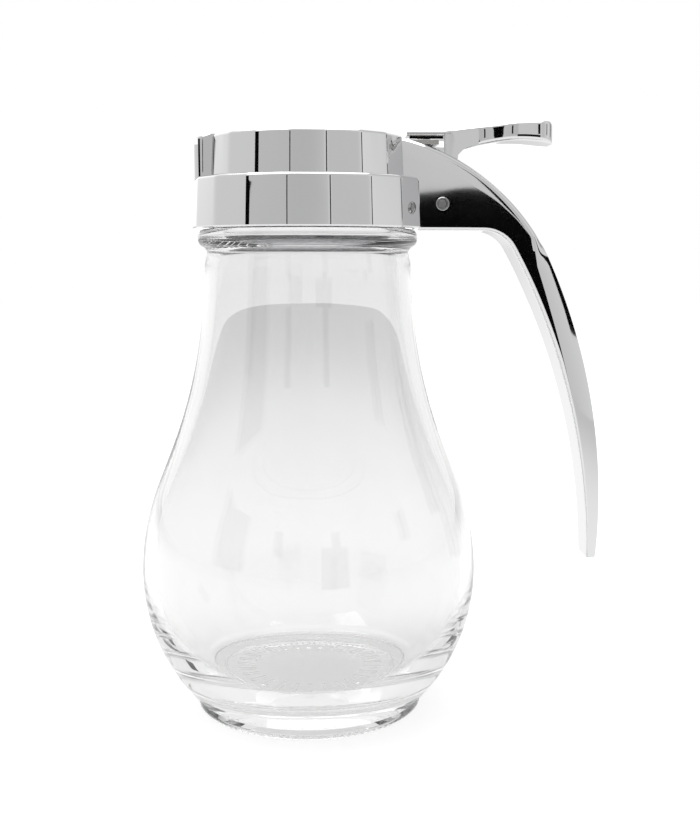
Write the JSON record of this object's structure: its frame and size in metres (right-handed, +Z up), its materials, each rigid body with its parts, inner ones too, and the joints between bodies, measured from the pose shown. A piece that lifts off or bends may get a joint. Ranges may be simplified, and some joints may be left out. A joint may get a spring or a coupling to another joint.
{
  "type": "syrup dispenser",
  "caption": "Pear-shaped clear glass jar with a faceted metal pouring top, curved handle, thumb lever and a sliding gate over the spout.",
  "frame": {"origin": "on the jar's axis, in the plane that its foot stands on", "axes": "+Z up along the jar's axis, +X towards the handle, -X towards the spout"},
  "size_m": [0.1278, 0.093, 0.1621],
  "materials": {
    "glass": "clear pressed soda-lime glass",
    "plated_casting": "polished chrome plate on die-cast zinc",
    "plated_lever": "polished chrome plate on die-cast zinc",
    "gate_steel": "stamped stainless steel, lightly brushed",
    "pin_steel": "turned steel"
  },
  "bodies": {
    "root": {"jar": "glass", "top_casting": "plated_casting", "pivot_pin": "pin_steel"},
    "lever": {"thumb_lever": "plated_lever"},
    "gate": {"slide_gate": "gate_steel"}
  },
  "joints": [
    {"name": "lever_pivot", "type": "hinge", "parent": "root", "child": "lever", "pos_m": [0.036, 0, 0.1401], "axis": [0, 1, 0], "range_deg": [0, 15], "stiffness_Nm_per_rad": 0.5, "springref_deg": -11.46},
    {"name": "gate_slide", "type": "slide", "parent": "root", "child": "gate", "axis": [1, 0, 0], "range_m": [0, 0.0045]}
  ],
  "couplings": [
    {"joint": "gate_slide", "follows": "lever_pivot", "m_per_rad": 0.0163}
  ]
}
